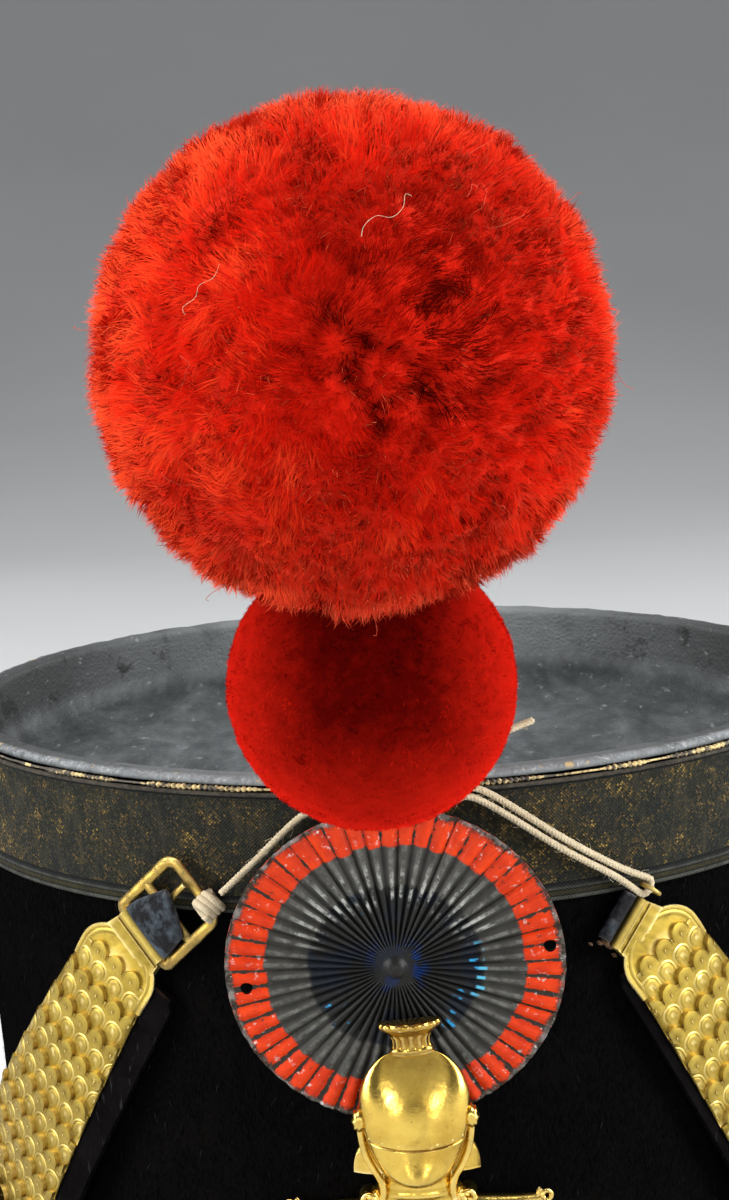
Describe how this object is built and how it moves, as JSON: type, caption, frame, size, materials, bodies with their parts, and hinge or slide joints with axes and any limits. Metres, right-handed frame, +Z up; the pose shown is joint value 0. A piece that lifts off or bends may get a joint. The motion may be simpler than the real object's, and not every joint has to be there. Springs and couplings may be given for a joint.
{
  "type": "shako hat",
  "caption": "Tall felt shako hat with a sunk leather crown, peak, cockade, gilt chin scales, stamped front plate and a double wool pompom.",
  "frame": {"origin": "middle of the footprint, on the surface that the hat stands on", "axes": "+Z up, -Y out of the front of the hat, +X to the right as seen from the front"},
  "size_m": [0.225, 0.3097, 0.3297],
  "materials": {
    "felt": "matt napped felt",
    "crown": "worn waxed leather",
    "galloon": "tarnished woven metal thread",
    "leather": "polished black leather",
    "cockade": "chipped paint on pleated sheet metal",
    "gilt": "gilt, stamped",
    "wool": "long and short wool pile",
    "iron": "dark",
    "linen": "twisted natural thread"
  },
  "bodies": {
    "root": {"felt_body": "felt", "crown_leather": "crown", "top_lace": "galloon", "base_band": "leather", "peak": "leather", "cockade": "cockade", "front_plate": "gilt", "pompom_tuft": "wool", "pompom_ball": "wool", "pompom_collar": "wool", "pompom_pin": "iron", "chin_boss_left": "gilt", "chin_boss_right": "gilt", "chin_leather_left": "leather", "chin_leather_right": "leather", "chin_plate_left_01": "gilt", "chin_plate_left_02": "gilt", "chin_plate_left_03": "gilt", "chin_plate_left_04": "gilt", "chin_plate_left_05": "gilt", "chin_plate_left_06": "gilt", "chin_plate_left_07": "gilt", "chin_plate_left_08": "gilt", "chin_plate_left_09": "gilt", "chin_plate_right_01": "gilt", "chin_plate_right_02": "gilt", "chin_plate_right_03": "gilt", "chin_plate_right_04": "gilt", "chin_plate_right_05": "gilt", "chin_plate_right_06": "gilt", "chin_plate_right_07": "gilt", "chin_plate_right_08": "gilt", "chin_plate_right_09": "gilt", "chin_end_left": "gilt", "chin_end_right": "gilt", "buckle_frame": "gilt", "buckle_prong": "gilt", "buckle_sleeve": "gilt", "strap_tip": "leather", "end_clasp": "gilt", "end_ring": "gilt", "leather_roll": "leather", "string_left": "linen", "string_knot": "linen", "string_right": "linen", "string_stub": "linen", "string_tie": "linen"}
  },
  "joints": []
}
